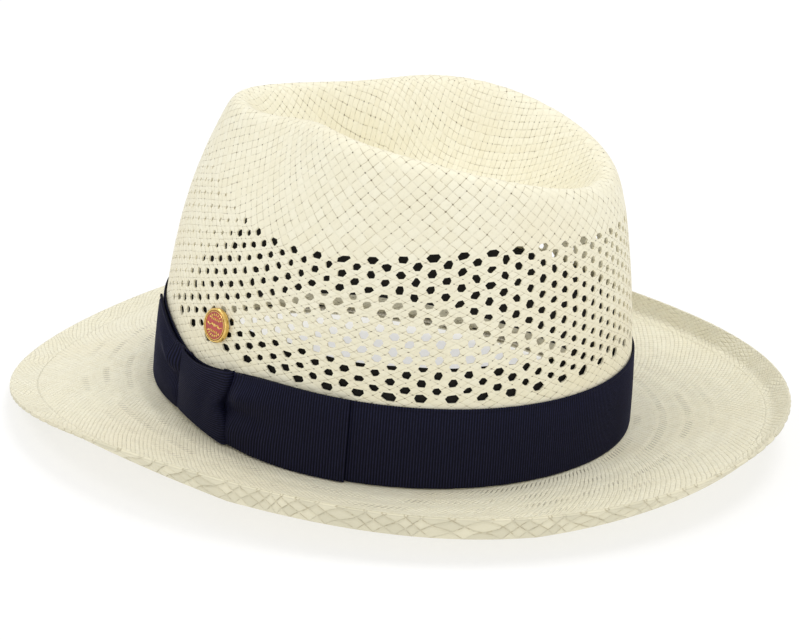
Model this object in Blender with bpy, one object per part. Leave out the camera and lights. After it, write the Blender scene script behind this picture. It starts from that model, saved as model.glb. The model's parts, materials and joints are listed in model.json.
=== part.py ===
"""A straw fedora with a ribbon band, a flat bow and an enamel pin. Metres, +Z up.

The hat is drawn level: its front looks towards -Y, the wearer's left is +X, and height zero is where the
crown meets the brim. A parent empty then tilts it back a little and lifts it, so that it stands on z = 0
on the front of its brim and on both sides of its head opening, with its origin under its middle.
Angles around the hat start at the front and turn towards the wearer's left.
"""

import math

import bmesh
import bpy
from mathutils import Matrix, Vector

MM = 0.001
DEG = math.pi / 180

# Head opening: the outside of the crown's wall where it meets the brim
HEAD_HALF_LENGTH = 102.2 * MM
HEAD_HALF_WIDTH = 85.2 * MM
SADDLE = 2.6 * MM  # front and rear of the brim line are this much higher, and the sides lower
REST_TILT = 3.5 * DEG

# Material thicknesses and the gap that neighbours keep
WEAVE = 1.2 * MM
EDGE_WEAVE = 1.8 * MM
RIBBON = 0.7 * MM
SWEATBAND = 0.9 * MM
GAP = 0.4 * MM

# Crown: an oval ridge, pinched on both sides of the front, around a deep teardrop crease
RIDGE_FRONT = 79.0 * MM
RIDGE_REAR = 87.5 * MM
RIDGE_SIDE = 63.5 * MM
RIDGE_HEIGHT = 120.0 * MM
RIDGE_RISE_FRONT = 3.1 * MM  # added at the front, taken off at the rear
RIDGE_DIP_ENDS = 5.8 * MM  # taken off at both ends, added at both sides
SHOULDER = 2.8 * MM
PINCH_DEPTH = 16.7 * MM
PINCH_ANGLE = 57 * DEG
PINCH_SPREAD = 33 * DEG
CREASE_DEPTH = 36.0 * MM
WALL_LEAN = 0.46  # how far the middle of the wall has moved from the head oval to the ridge oval
WALL_LEAN_REAR = 0.09

# Brim
BRIM_WIDTH = 61.0 * MM
BRIM_WIDER_ENDS = 4.6 * MM
BRIM_EDGE_HEIGHT = 11.2 * MM
BRIM_EDGE_WAVES = (-14.8 * MM, -5.3 * MM, -4.5 * MM)  # once, twice and three times around
CURL_HEIGHT = 6.5 * MM
CURL_WAVES = (-4.7 * MM, -3.7 * MM)
CURL_LENGTH = 11.5 * MM
CURL_BEND = 5.0 * MM
CURL_STEPS = 5
BRIM_STEPS = 5

# Hatband, bow and sweatband
BAND_BOTTOM = 1.6 * MM
BAND_TOP = 35.0 * MM
BOW_ANGLES = {"bow_loop_front": (25, 55), "bow_loop_rear": (65, 100)}
BOW_LAYERS = 1.5 * MM
KNOT_ANGLES = (50, 70)
KNOT_OVERHANG = 0.6 * MM
SWEATBAND_BOTTOM = 3.6 * MM
SWEATBAND_TOP = 49.0 * MM
REED_RADIUS = 0.8 * MM
TAPE_HALF_ANGLE = 5
LABEL_ANGLES = (190, 200)
LABEL_BOTTOM = 12.0 * MM
LABEL_TOP = 32.0 * MM

# Pin: a round badge whose post goes through the weave and the sweatband into a clutch
PIN_ANGLE = 61 * DEG
PIN_HEIGHT = 46.0 * MM
PIN_RADIUS = 7.0 * MM
PIN_THICKNESS = 2.0 * MM
PIN_RIM = 0.8 * MM
ENAMEL_DEPTH = 0.9 * MM
POST_RADIUS = 0.55 * MM
POST_LENGTH = 10.5 * MM
POST_HOLE = 1.0 * MM
CLUTCH_RADIUS = 5.2 * MM
CLUTCH_BODY = 3.8 * MM
CLUTCH_LENGTH = 4.6 * MM
CLUTCH_FLANGE = 1.2 * MM
WING_REACH = 7.0 * MM
WING_HALF_WIDTH = 2.2 * MM
WING_THICKNESS = 0.5 * MM

STEPS_AROUND = 72
CROWN_RINGS = (0, 0.07, 0.16, 0.26, 0.36, 0.45, 0.51, 0.56, 0.61, 0.66, 0.71, 0.77, 0.84, 0.92)
SPLINE_DEGREE = 3


def clear_scene():
    for obj in list(bpy.data.objects):
        bpy.data.objects.remove(obj)


def material(name, colour, roughness, metallic=0.0):
    mat = bpy.data.materials.new(name)
    mat.use_nodes = True
    shader = mat.node_tree.nodes["Principled BSDF"]
    shader.inputs["Base Color"].default_value = (*colour, 1)
    shader.inputs["Roughness"].default_value = roughness
    shader.inputs["Metallic"].default_value = metallic
    return mat


def oval(angle, front, rear, side):
    """A point of an egg-shaped plan outline."""
    length = rear + (front - rear) * (0.5 + 0.5 * math.cos(angle))
    return Vector((side * math.sin(angle), -length * math.cos(angle), 0))


def head_oval(angle):
    return oval(angle, HEAD_HALF_LENGTH, HEAD_HALF_LENGTH, HEAD_HALF_WIDTH)


def head_outward(angle):
    """The level direction square to the head oval."""
    return Vector((math.sin(angle) / HEAD_HALF_WIDTH, -math.cos(angle) / HEAD_HALF_LENGTH, 0)).normalized()


def saddle(angle):
    return SADDLE * math.cos(2 * angle)


def bell(angle, centre, spread):
    """A smooth bump, 1 at the centre."""
    away = (angle - centre + math.pi) % (2 * math.pi) - math.pi
    return math.exp(-((away / spread) ** 2))


def crown_profile(angle):
    """The control points of the crown's section at this angle, from the brim up and over to the middle."""
    base = head_oval(angle)
    ridge = oval(angle, RIDGE_FRONT, RIDGE_REAR, RIDGE_SIDE)
    outward = ridge.normalized()
    pinch = PINCH_DEPTH * (bell(angle, PINCH_ANGLE, PINCH_SPREAD) + bell(angle, -PINCH_ANGLE, PINCH_SPREAD))
    ridge -= outward * pinch
    height = RIDGE_HEIGHT + RIDGE_RISE_FRONT * math.cos(angle) - RIDGE_DIP_ENDS * math.cos(2 * angle)
    lean = WALL_LEAN - WALL_LEAN_REAR * math.cos(angle)
    shoulder = ridge + SHOULDER * outward
    level = saddle(angle)
    sections = (
        (base, level),
        (base - 0.5 * MM * outward, 20 * MM + level),
        (base - 2.5 * MM * outward, 45 * MM + 0.6 * level),
        (base.lerp(shoulder, lean), 0.68 * height),
        (shoulder, height - 7 * MM),
        (ridge - 2 * MM * outward, height + 6 * MM),
        (ridge - 20 * MM * outward, height - 0.55 * CREASE_DEPTH),
        (ridge * 0.4, height - CREASE_DEPTH),
        (Vector((0, 0, 0)), RIDGE_HEIGHT - CREASE_DEPTH),
    )
    return [Vector((plan.x, plan.y, z)) for plan, z in sections]


def spline_point(controls, t):
    """A clamped uniform B-spline, by de Boor's rule."""
    spans = len(controls) - SPLINE_DEGREE
    position = min(t, 1 - 1e-9) * spans
    span = int(position)

    def knot(i):
        return min(max(i - SPLINE_DEGREE, 0), spans)

    points = [controls[span + i] for i in range(SPLINE_DEGREE + 1)]
    for level in range(1, SPLINE_DEGREE + 1):
        for i in range(SPLINE_DEGREE, level - 1, -1):
            low, high = knot(span + i), knot(span + i + SPLINE_DEGREE + 1 - level)
            points[i] = points[i - 1].lerp(points[i], (position - low) / (high - low))
    return points[SPLINE_DEGREE]


def wall_point(angle, height, offset=0.0):
    """The crown's outer wall at this height above the brim line, moved outwards by the offset."""
    controls = crown_profile(angle)
    low, high = 0.0, 0.5
    for _ in range(24):
        middle = (low + high) / 2
        if spline_point(controls, middle).z - saddle(angle) < height:
            low = middle
        else:
            high = middle
    return spline_point(controls, low) + head_outward(angle) * offset


def brim_outline(angle):
    """How far the brim's edge is out from the head oval, its height, and how high it is turned up."""
    once, twice, thrice = (math.cos(n * angle) for n in (1, 2, 3))
    width = BRIM_WIDTH + BRIM_WIDER_ENDS * twice
    height = BRIM_EDGE_HEIGHT + sum(a * b for a, b in zip(BRIM_EDGE_WAVES, (once, twice, thrice)))
    curl = CURL_HEIGHT + CURL_WAVES[0] * once + CURL_WAVES[1] * twice
    return width, height, max(curl, 0.5 * MM)


def curl_profile(angle):
    """Points (out, up) of the turned-up edge, from the brim's fold to the top edge."""
    width, height, curl = brim_outline(angle)
    steep = math.asin(min(curl / CURL_LENGTH * 1.12, 0.97))
    start = math.atan2(height - curl - saddle(angle), width - CURL_LENGTH / 2)
    step = CURL_LENGTH / CURL_STEPS
    points = [(width - EDGE_WEAVE / 2, height)]
    for i in reversed(range(CURL_STEPS)):
        along = min((i + 0.5) * step / CURL_BEND, 1)
        lean = start + (steep - start) * along * along * (3 - 2 * along)
        out, up = points[0]
        points.insert(0, (out - step * math.cos(lean), up - step * math.sin(lean)))
    return points


def brim_point(angle, out, up):
    plan = head_oval(angle) + head_outward(angle) * out
    return Vector((plan.x, plan.y, up))


def brim_section(angle):
    """Points of the brim's upper side from the fold of its edge to its inner rim, under the crown's wall."""
    out, up = curl_profile(angle)[0]
    level = saddle(angle)
    inner = brim_point(angle, -WEAVE, level)
    points = [inner]
    for i in range(BRIM_STEPS + 1):
        part = i / BRIM_STEPS
        drop = level + (up - level) * part * (0.55 + 0.45 * part)
        points.append(brim_point(angle, (out - GAP) * part + 0.5 * MM * (1 - part), drop))
    return points[::-1]


def angles_around():
    return [2 * math.pi * i / STEPS_AROUND for i in range(STEPS_AROUND)]


def angles_between(first, last):
    """The hat's own steps around, from one angle to another in degrees."""
    step = 360 / STEPS_AROUND
    return [DEG * step * i for i in range(round(first / step), round(last / step) + 1)]


def mesh_object(name, mesh_builder, mat, parent):
    mesh = bpy.data.meshes.new(name)
    mesh_builder.to_mesh(mesh)
    mesh_builder.free()
    mesh.materials.append(mat)
    mesh.shade_smooth()
    mesh.set_sharp_from_angle(angle=40 * DEG)
    obj = bpy.data.objects.new(name, mesh)
    bpy.context.collection.objects.link(obj)
    obj.parent = parent
    return obj


def shell(name, columns, thickness, mat, parent, around=True, apex=None):
    """A sheet through columns of points, thickened inwards or downwards. Columns run up a wall, or inwards
    along the brim."""
    bm = bmesh.new()
    grid = [[bm.verts.new(point) for point in column] for column in columns]
    pairs = list(zip(grid, grid[1:] + grid[:1])) if around else list(zip(grid, grid[1:]))
    tip = bm.verts.new(apex) if apex else None
    for left, right in pairs:
        for i in range(len(left) - 1):
            bm.faces.new((left[i], right[i], right[i + 1], left[i + 1]))
        if tip:
            bm.faces.new((left[-1], right[-1], tip))
    obj = mesh_object(name, bm, mat, parent)
    solid = obj.modifiers.new("thickness", "SOLIDIFY")
    solid.thickness = thickness
    solid.offset = -1
    solid.use_even_offset = True
    return obj


def turned(name, profile, mat, parent, segments=28):
    """A closed outline of (radius, height) points turned about Z. Points on the axis become poles."""
    bm = bmesh.new()
    rings = []
    for radius, height in profile:
        count = segments if radius > 0 else 1
        turns = [2 * math.pi * k / segments for k in range(count)]
        rings.append([bm.verts.new((radius * math.cos(a), radius * math.sin(a), height)) for a in turns])
    for lower, upper in zip(rings, rings[1:] + rings[:1]):
        if len(lower) == len(upper) == 1:
            continue
        for k in range(segments):
            corners = [lower[k % len(lower)], lower[(k + 1) % len(lower)]]
            corners += [upper[(k + 1) % len(upper)], upper[k % len(upper)]]
            bm.faces.new(list(dict.fromkeys(corners)))
    bmesh.ops.recalc_face_normals(bm, faces=bm.faces)
    return mesh_object(name, bm, mat, parent)


def make_crown(mat, root):
    sections = [crown_profile(angle) for angle in angles_around()]
    rim_lift = Vector((0, 0, GAP))
    columns = []
    for controls in sections:
        column = [spline_point(controls, t) for t in CROWN_RINGS]
        column[0] += rim_lift
        columns.append(column)
    apex = spline_point(sections[0], 1)
    return shell("crown", columns, WEAVE, mat, root, apex=apex)


def make_brim(mat, edge_mat, root):
    columns = [brim_section(angle) for angle in angles_around()]
    shell("brim", columns, WEAVE, mat, root)
    edges = []
    for angle in angles_around():
        edges.append([brim_point(angle, out, up) for out, up in reversed(curl_profile(angle))])
    shell("brim_edge", edges, EDGE_WEAVE, edge_mat, root)


def make_hatband(mat, bow_mat, root):
    surface = GAP + RIBBON
    heights = (BAND_BOTTOM, (BAND_BOTTOM + BAND_TOP) / 2, BAND_TOP)
    columns = [[wall_point(a, h, surface) for h in heights] for a in angles_around()]
    shell("hatband_ribbon", columns, RIBBON, mat, root)
    surface += GAP + BOW_LAYERS
    for name, (first, last) in BOW_ANGLES.items():
        columns = [[wall_point(a, h, surface) for h in heights] for a in angles_between(first, last)]
        shell(name, columns, BOW_LAYERS, bow_mat, root, around=False)
    surface += GAP + RIBBON
    heights = (BAND_BOTTOM - KNOT_OVERHANG / 2, heights[1], BAND_TOP + KNOT_OVERHANG)
    columns = [[wall_point(a, h, surface) for h in heights] for a in angles_between(*KNOT_ANGLES)]
    shell("bow_knot", columns, RIBBON, bow_mat, root, around=False)


def make_sweatband(mat, tape_mat, label_mat, root):
    heights = (SWEATBAND_BOTTOM, (SWEATBAND_BOTTOM + SWEATBAND_TOP) / 2, SWEATBAND_TOP)
    surface = -WEAVE - GAP
    columns = [[wall_point(a, h, surface) for h in heights] for a in angles_around()]
    band = shell("sweatband", columns, SWEATBAND, mat, root)
    surface -= SWEATBAND + GAP
    tape_angles = angles_between(180 - TAPE_HALF_ANGLE, 180 + TAPE_HALF_ANGLE)
    columns = [[wall_point(a, h, surface) for h in heights] for a in tape_angles]
    shell("sweatband_tape", columns, RIBBON, tape_mat, root, around=False)
    label_heights = (LABEL_BOTTOM, LABEL_TOP)
    columns = [[wall_point(a, h, surface) for h in label_heights] for a in angles_between(*LABEL_ANGLES)]
    shell("size_label", columns, RIBBON, label_mat, root, around=False)
    make_reed(mat, root)
    return band


def make_reed(mat, root):
    """The round reed that stiffens the sweatband's lower edge."""
    sides = 6
    centre_offset = -WEAVE - GAP - REED_RADIUS
    bm = bmesh.new()
    rings = []
    for angle in angles_around():
        centre = wall_point(angle, SWEATBAND_BOTTOM - GAP - REED_RADIUS, centre_offset)
        ring = []
        for k in range(sides):
            turn = 2 * math.pi * k / sides
            across = head_outward(angle) * math.cos(turn) + Vector((0, 0, math.sin(turn)))
            ring.append(bm.verts.new(centre + REED_RADIUS * across))
        rings.append(ring)
    for ring, following in zip(rings, rings[1:] + rings[:1]):
        for k in range(sides):
            bm.faces.new((ring[k], following[k], following[(k + 1) % sides], ring[(k + 1) % sides]))
    bmesh.ops.recalc_face_normals(bm, faces=bm.faces)
    mesh_object("sweatband_reed", bm, mat, root)


def pin_frame(root):
    """An empty on the crown's wall whose Z looks straight out of it."""
    here = wall_point(PIN_ANGLE, PIN_HEIGHT)
    along = wall_point(PIN_ANGLE + DEG, PIN_HEIGHT) - wall_point(PIN_ANGLE - DEG, PIN_HEIGHT)
    up = wall_point(PIN_ANGLE, PIN_HEIGHT + MM) - wall_point(PIN_ANGLE, PIN_HEIGHT - MM)
    outward = along.cross(up).normalized()
    along.normalize()
    axes = Matrix((along, outward.cross(along), outward)).transposed()
    empty = bpy.data.objects.new("pin_axis", None)
    bpy.context.collection.objects.link(empty)
    empty.parent = root
    empty.matrix_local = Matrix.Translation(here) @ axes.to_4x4()
    return empty


def make_pin(gold, enamel, steel, axis):
    back = GAP
    front = back + PIN_THICKNESS
    floor = front - ENAMEL_DEPTH
    bevel = 0.3 * MM
    outline = [(0, back), (PIN_RADIUS - bevel, back), (PIN_RADIUS, back + bevel)]
    outline += [(PIN_RADIUS, front - bevel), (PIN_RADIUS - bevel, front)]
    outline += [(PIN_RADIUS - PIN_RIM, front), (PIN_RADIUS - PIN_RIM, floor), (0, floor)]
    turned("pin_rim", outline, gold, axis)
    enamel_radius = PIN_RADIUS - PIN_RIM - GAP / 2
    enamel_back, enamel_front = floor + GAP / 2, front - 0.1 * MM
    disc = [(0, enamel_back), (enamel_radius, enamel_back), (enamel_radius, enamel_front), (0, enamel_front)]
    turned("pin_enamel", disc, enamel, axis)
    tip = POST_RADIUS * 3
    post = [(0, 0), (POST_RADIUS, 0), (POST_RADIUS, tip - POST_LENGTH), (0, -POST_LENGTH)]
    turned("pin_post", post, steel, axis, segments=12)


def make_clutch(brass, axis):
    near = -WEAVE - GAP - SWEATBAND - 1.6 * GAP
    far = near - CLUTCH_LENGTH
    bore = POST_RADIUS + GAP / 2
    flange = near - CLUTCH_FLANGE
    cup = [(bore, near), (CLUTCH_RADIUS, near), (CLUTCH_RADIUS, flange)]
    cup += [(CLUTCH_BODY, flange), (CLUTCH_BODY, far), (bore, far)]
    turned("pin_clutch_cup", cup, brass, axis)
    for name, side in (("pin_clutch_wing_left", -1), ("pin_clutch_wing_right", 1)):
        bm = bmesh.new()
        bmesh.ops.create_cube(bm, size=1)
        reach = WING_REACH - CLUTCH_BODY - GAP
        bmesh.ops.scale(bm, vec=(reach, 2 * WING_HALF_WIDTH, WING_THICKNESS), verts=bm.verts)
        shift = ((CLUTCH_BODY + GAP + reach / 2) * side, 0, far + WING_THICKNESS)
        bmesh.ops.translate(bm, vec=shift, verts=bm.verts)
        uprights = [e for e in bm.edges if abs(e.verts[0].co.z - e.verts[1].co.z) > WING_THICKNESS / 2]
        outer = [e for e in uprights if abs(e.verts[0].co.x) > WING_REACH - GAP]
        bmesh.ops.bevel(bm, geom=outer, offset=1.4 * MM, segments=4, affect="EDGES", profile=0.5)
        mesh_object(name, bm, brass, axis)


def cut_post_hole(sheets, axis):
    """A round hole for the post through each of the sheets."""
    bm = bmesh.new()
    depth = 10 * MM
    bmesh.ops.create_cone(
        bm, cap_ends=True, segments=12, radius1=POST_HOLE, radius2=POST_HOLE, depth=depth
    )
    cutter = mesh_object("post_hole_cutter", bm, sheets[0].data.materials[0], axis)
    cutter.hide_render = True
    cutter.display_type = "WIRE"
    for sheet in sheets:
        hole = sheet.modifiers.new("post_hole", "BOOLEAN")
        hole.operation = "DIFFERENCE"
        hole.object = cutter


def stand_on_floor(root):
    """Moves the parent empty so that the whole hat's box is centred on the origin and stands on z = 0."""
    bpy.context.view_layer.update()
    graph = bpy.context.evaluated_depsgraph_get()
    corners = []
    for obj in bpy.data.objects:
        if obj.type == "MESH" and not obj.hide_render:
            solid = obj.evaluated_get(graph)
            corners += [solid.matrix_world @ vertex.co for vertex in solid.data.vertices]
    low = Vector([min(point[i] for point in corners) for i in range(3)])
    high = Vector([max(point[i] for point in corners) for i in range(3)])
    middle = (low + high) / 2
    root.location = (-middle.x, -middle.y, -low.z)


def main():
    clear_scene()
    straw = material("natural_straw", (0.80, 0.74, 0.57), 0.62)
    straw_edge = material("straw_edge_braid", (0.76, 0.69, 0.52), 0.6)
    grosgrain = material("navy_grosgrain", (0.012, 0.014, 0.03), 0.8)
    bow = material("navy_grosgrain_bow", (0.014, 0.016, 0.034), 0.8)
    cotton = material("black_sweatband", (0.01, 0.01, 0.011), 0.85)
    tape = material("black_tape", (0.015, 0.015, 0.017), 0.7)
    label = material("blank_label", (0.7, 0.69, 0.66), 0.75)
    gold = material("gilt_metal", (0.83, 0.62, 0.28), 0.28, 1.0)
    enamel = material("red_enamel", (0.42, 0.012, 0.016), 0.15)
    steel = material("post_steel", (0.62, 0.61, 0.6), 0.3, 1.0)
    brass = material("clutch_brass", (0.78, 0.6, 0.3), 0.32, 1.0)

    root = bpy.data.objects.new("hat_root", None)
    bpy.context.collection.objects.link(root)
    root.rotation_euler.x = -REST_TILT
    crown = make_crown(straw, root)
    make_brim(straw, straw_edge, root)
    make_hatband(grosgrain, bow, root)
    sweatband = make_sweatband(cotton, tape, label, root)
    axis = pin_frame(root)
    make_pin(gold, enamel, steel, axis)
    make_clutch(brass, axis)
    cut_post_hole((crown, sweatband), axis)
    stand_on_floor(root)


main()
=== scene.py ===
import json
import math

import bmesh
import bpy
import numpy as np
from mathutils import Matrix, Vector


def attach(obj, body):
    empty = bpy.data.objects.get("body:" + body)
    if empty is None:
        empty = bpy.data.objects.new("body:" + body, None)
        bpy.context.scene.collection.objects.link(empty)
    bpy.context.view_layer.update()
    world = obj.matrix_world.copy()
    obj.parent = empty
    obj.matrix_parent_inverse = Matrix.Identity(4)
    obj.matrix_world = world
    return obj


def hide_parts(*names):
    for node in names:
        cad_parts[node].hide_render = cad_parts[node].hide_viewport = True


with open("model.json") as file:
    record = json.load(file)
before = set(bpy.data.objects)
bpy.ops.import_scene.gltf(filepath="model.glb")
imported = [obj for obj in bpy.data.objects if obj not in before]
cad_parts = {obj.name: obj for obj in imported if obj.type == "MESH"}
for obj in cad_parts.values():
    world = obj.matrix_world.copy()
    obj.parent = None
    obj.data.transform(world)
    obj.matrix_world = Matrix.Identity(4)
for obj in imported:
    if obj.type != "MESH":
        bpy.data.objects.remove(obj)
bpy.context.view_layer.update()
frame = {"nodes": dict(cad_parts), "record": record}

MM = 0.001
DEG = math.pi / 180

# The hat's own level frame: origin in the middle of the brim line, front towards -Y, wearer's left +X
OPENING = next(m for m in frame["record"]["mounts"] if m["name"] == "head_opening")
LEVEL_UP = -Vector(OPENING["axis"])
LEVEL_TURN = Vector((0, 0, 1)).rotation_difference(LEVEL_UP).to_matrix().to_4x4()
LEVEL = Matrix.Translation(OPENING["pos_m"]) @ LEVEL_TURN

# The CAD model's shape, with the crown's pinch, nose and ridge drawn closer to the photo
HEAD_HALF_LENGTH = 102.2 * MM
HEAD_HALF_WIDTH = 85.2 * MM
SADDLE = 2.6 * MM
RIDGE_FRONT = 79.0 * MM
RIDGE_REAR = 87.5 * MM
RIDGE_SIDE = 63.5 * MM
RIDGE_HEIGHT = 120.0 * MM
RIDGE_RISE_FRONT = 3.1 * MM
RIDGE_DIP_ENDS = 5.8 * MM
SHOULDER = 2.8 * MM
PINCH_DEPTH = 18.0 * MM
PINCH_ANGLE = 54 * DEG
PINCH_SPREAD = 31 * DEG
CREASE_DEPTH = 36.0 * MM
RIDGE_LIFT = 6 * MM  # of the control points that round the ridge over into the crease
RIDGE_INSET = 4.5 * MM
CREASE_INSET = 23 * MM
NOSE_BULGE = (3.0 * MM, 2.2 * MM)  # forwards and upwards, at the front of the ridge
NOSE_SPREAD = 24 * DEG
WALL_LEAN = 0.46
WALL_LEAN_REAR = 0.09
BRIM_WIDTH = 61.0 * MM
BRIM_WIDER_ENDS = 4.6 * MM
BRIM_EDGE_HEIGHT = 11.2 * MM
BRIM_EDGE_WAVES = (-14.8 * MM, -5.3 * MM, -4.5 * MM)
CURL_HEIGHT = 6.5 * MM
CURL_WAVES = (-4.7 * MM, -3.7 * MM)
CURL_LENGTH = 11.5 * MM
CURL_BEND = 5.0 * MM
BAND_TOP = 35.0 * MM
SWEATBAND_BOTTOM = 3.6 * MM
SWEATBAND_TOP = 49.0 * MM
SWEATBAND_LIFT = 7.0 * MM  # of its lower edge on the far side, where the tape shows below it
WEAVE = 1.2 * MM
GAP = 0.4 * MM

# Weave of the crown: columns of holes around, and half rows of holes up the wall
COLUMNS = 100
OPEN_ROWS = 18
CLOSED_ROWS = 46
FOOT_ROWS = 12
# Heights of the openwork's lowest and highest rows: a mean and its waves around the head
OPEN_BOTTOM = (40.1 * MM, 0.7 * MM, 5.2 * MM, -0.5 * MM, 0.6 * MM)
OPEN_TOP = (91.5 * MM, 0.0, 6.6 * MM, 3.3 * MM, -0.2 * MM)
HOLE_HALF_WIDTH = 0.33  # in columns
HOLE_HALF_HEIGHT = 0.52  # in half rows
SLIT_WIDTH = 0.42  # of a hole's, in the front where the openwork closes
SLIT_HEIGHT = 0.62
DISH_SQUARE = 2.2 * MM
RNG = np.random.default_rng(58)


# ---------------------------------------------------------------- shape of the hat


def head_oval(psi):
    return np.stack([HEAD_HALF_WIDTH * np.sin(psi), -HEAD_HALF_LENGTH * np.cos(psi)], -1)


def head_outward(psi):
    out = np.stack([np.sin(psi) / HEAD_HALF_WIDTH, -np.cos(psi) / HEAD_HALF_LENGTH], -1)
    return out / np.linalg.norm(out, axis=-1, keepdims=True)


def saddle(psi):
    return SADDLE * np.cos(2 * psi)


def around_waves(psi, waves):
    return sum(size * np.cos(n * psi) for n, size in enumerate(waves))


def bell(psi, centre, spread):
    away = (psi - centre + math.pi) % (2 * math.pi) - math.pi
    return np.exp(-((away / spread) ** 2))


def crown_controls(psi):
    """Control points (angle, point, xyz) of the crown's section at each angle."""
    once = np.cos(psi)
    base = head_oval(psi)
    nose = bell(psi, 0, NOSE_SPREAD)
    length = RIDGE_REAR + (RIDGE_FRONT - RIDGE_REAR) * (0.5 + 0.5 * once) + NOSE_BULGE[0] * nose
    ridge = np.stack([RIDGE_SIDE * np.sin(psi), -length * once], -1)
    outward = ridge / np.linalg.norm(ridge, axis=-1, keepdims=True)
    pinch = PINCH_DEPTH * (bell(psi, PINCH_ANGLE, PINCH_SPREAD) + bell(psi, -PINCH_ANGLE, PINCH_SPREAD))
    ridge = ridge - outward * pinch[:, None]
    height = RIDGE_HEIGHT + RIDGE_RISE_FRONT * once - RIDGE_DIP_ENDS * np.cos(2 * psi)
    height = height + NOSE_BULGE[1] * nose
    lean = (WALL_LEAN - WALL_LEAN_REAR * once)[:, None]
    shoulder = ridge + SHOULDER * outward
    level = saddle(psi)
    plans = [base, base - 0.5 * MM * outward, base - 2.5 * MM * outward]
    plans += [base * (1 - lean) + shoulder * lean, shoulder]
    plans += [ridge - RIDGE_INSET * outward, ridge - CREASE_INSET * outward, ridge * 0.4, ridge * 0]
    heights = [level, 20 * MM + level, 45 * MM + 0.6 * level, 0.68 * height, height - 7 * MM]
    heights += [height + RIDGE_LIFT, height - 0.5 * CREASE_DEPTH, height - CREASE_DEPTH]
    heights += [np.full_like(psi, RIDGE_HEIGHT - CREASE_DEPTH)]
    return np.concatenate([np.stack(plans, 1), np.stack(heights, 1)[..., None]], -1)


def spline_weights(t, count, degree=3):
    """Weights (t, control point) of a clamped uniform B-spline."""
    spans = count - degree
    knots = np.clip(np.arange(count + degree + 1) - degree, 0, spans) / spans
    t = np.clip(t, 0, 1 - 1e-9)[:, None]
    weights = ((knots[:-1] <= t) & (t < knots[1:])).astype(float)
    for order in range(1, degree + 1):
        left = knots[order:-1] - knots[: -order - 1]
        right = knots[order + 1 :] - knots[1:-order]
        rise = (t - knots[: -order - 1]) / np.where(left > 0, left, 1) * (left > 0)
        fall = (knots[order + 1 :] - t) / np.where(right > 0, right, 1) * (right > 0)
        weights = rise * weights[:, :-1] + fall * weights[:, 1:]
    return weights


def crown_surface(psi, t):
    """Points of the crown's outside at paired angles and section positions."""
    return np.einsum("nk,nkc->nc", spline_weights(t, 9), crown_controls(psi))


class CrownMap:
    """Turns angle and height or row into a point of the crown's outside, through a table of sections."""

    STEPS = 260

    def __init__(self, count=720):
        self.count = count
        self.psi = np.arange(count) * 2 * math.pi / count
        self.t = np.linspace(0, 1, self.STEPS)
        controls = crown_controls(self.psi)
        self.points = np.einsum("tk,pkc->ptc", spline_weights(self.t, 9), controls)
        steps = np.linalg.norm(np.diff(self.points, axis=1), axis=-1)
        self.along = np.concatenate([np.zeros((count, 1)), np.cumsum(steps, 1)], 1)
        wall = self.STEPS // 2
        bottom = around_waves(self.psi, OPEN_BOTTOM)
        top = around_waves(self.psi, OPEN_TOP)
        rows = []
        self.ridge_row = np.empty(count)
        for k in range(count):
            heights = self.points[k, :wall, 2]
            low = np.interp(bottom[k], heights, self.along[k, :wall])
            high = np.interp(top[k], heights, self.along[k, :wall])
            end = self.along[k, -1]
            rows.append((0, low, high, end))
            ridge = self.along[k, np.argmax(self.points[k, :, 2])]
            self.ridge_row[k] = OPEN_ROWS + CLOSED_ROWS * (ridge - high) / (end - high)
        self.rows = np.array(rows)

    def _interpolated(self, table, psi):
        place = np.asarray(psi) / (2 * math.pi) * self.count
        low = np.floor(place).astype(int)
        part = (place - low)[..., None]
        return table[low % self.count] * (1 - part) + table[(low + 1) % self.count] * part

    def at_row(self, psi, row):
        """Points at lattice rows: below 0 the foot, 0 to OPEN_ROWS the openwork, then the closed weave."""
        marks = np.array([-FOOT_ROWS, 0, OPEN_ROWS, OPEN_ROWS + CLOSED_ROWS], float)
        stops = self._interpolated(self.rows, psi)
        along = np.empty(len(psi))
        for i in range(3):
            part = (row - marks[i]) / (marks[i + 1] - marks[i])
            chosen = (row >= marks[i] - 1e-9) if i else np.ones(len(psi), bool)
            value = stops[:, i] + (stops[:, i + 1] - stops[:, i]) * part
            along = np.where(chosen, value, along)
        lengths = self._interpolated(self.along, psi)
        t = np.array([np.interp(a, l, self.t) for a, l in zip(along, lengths)])
        return crown_surface(np.asarray(psi, float), t)

    def at_height(self, psi, height, offset=0.0):
        """Points of the wall at a height above the brim line, moved outwards by the offset."""
        psi, height = np.broadcast_arrays(np.asarray(psi, float), np.asarray(height, float))
        shape = psi.shape
        psi, height = psi.ravel(), height.ravel()
        wall = self.STEPS // 2
        heights = self._interpolated(self.points[:, :wall, 2], psi)
        target = height + saddle(psi)
        t = np.array([np.interp(z, h, self.t[:wall]) for z, h in zip(target, heights)])
        points = crown_surface(psi, t)
        points[:, :2] += head_outward(psi) * np.broadcast_to(offset, shape).ravel()[:, None]
        return points.reshape(shape + (3,))


CROWN = CrownMap()


def brim_outline(psi):
    once, twice, thrice = (np.cos(n * psi) for n in (1, 2, 3))
    width = BRIM_WIDTH + BRIM_WIDER_ENDS * twice
    waves = BRIM_EDGE_WAVES
    height = BRIM_EDGE_HEIGHT + waves[0] * once + waves[1] * twice + waves[2] * thrice
    curl = np.maximum(CURL_HEIGHT + CURL_WAVES[0] * once + CURL_WAVES[1] * twice, 0.5 * MM)
    return width, height, curl


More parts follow.
